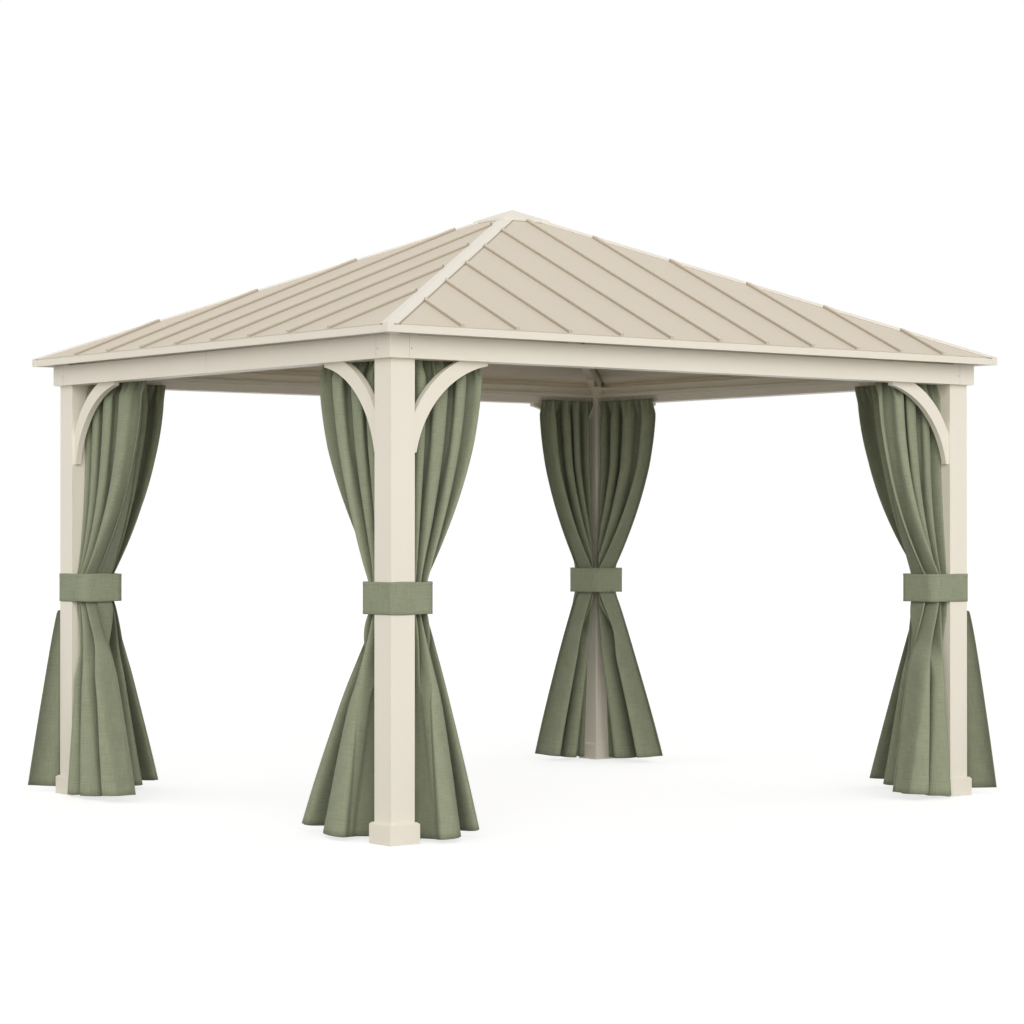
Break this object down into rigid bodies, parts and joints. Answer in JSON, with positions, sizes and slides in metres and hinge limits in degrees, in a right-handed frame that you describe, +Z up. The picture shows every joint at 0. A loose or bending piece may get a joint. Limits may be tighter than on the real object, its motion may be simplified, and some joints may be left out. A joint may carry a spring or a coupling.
{
  "type": "metal gazebo",
  "caption": "Open-sided rectangular metal gazebo with square posts, a standing-seam hip roof, arch brackets and curtains tied back at the corner posts.",
  "frame": {"origin": "ground level at the middle of the plan", "axes": "+Z up, X along the long side, front faces -Y"},
  "size_m": [3.6902, 3.06, 2.8849],
  "materials": {
    "frame": "satin cream powder coat",
    "trim": "satin cream powder coat on folded sheet",
    "roof": "matt tan coated sheet with standing seams",
    "curtain": "sage linen-look polyester"
  },
  "bodies": {
    "root": {"post_front_left": "frame", "post_front_right": "frame", "post_back_left": "frame", "post_back_right": "frame", "base_collar_front_left": "frame", "base_collar_front_right": "frame", "base_collar_back_left": "frame", "base_collar_back_right": "frame", "corner_block_front_left": "frame", "corner_block_front_right": "frame", "corner_block_back_left": "frame", "corner_block_back_right": "frame", "brackets_front_left": "frame", "brackets_front_right": "frame", "brackets_back_left": "frame", "brackets_back_right": "frame", "hip_rafter_front_left": "frame", "hip_rafter_front_right": "frame", "hip_rafter_back_left": "frame", "hip_rafter_back_right": "frame", "hip_cap_front_left": "trim", "hip_cap_front_right": "trim", "hip_cap_back_left": "trim", "hip_cap_back_right": "trim", "curtains_front_left": "curtain", "curtains_front_right": "curtain", "curtains_back_left": "curtain", "curtains_back_right": "curtain", "tie_band_front_left": "curtain", "tie_band_front_right": "curtain", "tie_band_back_left": "curtain", "tie_band_back_right": "curtain", "beam_front": "frame", "beam_back": "frame", "beam_left": "frame", "beam_right": "frame", "roof_front": "roof", "roof_back": "roof", "roof_left": "roof", "roof_right": "roof", "fascia_front": "trim", "fascia_back": "trim", "fascia_left": "trim", "fascia_right": "trim", "apex_hub": "frame", "apex_cap": "trim", "curtain_rails": "frame"}
  },
  "joints": []
}
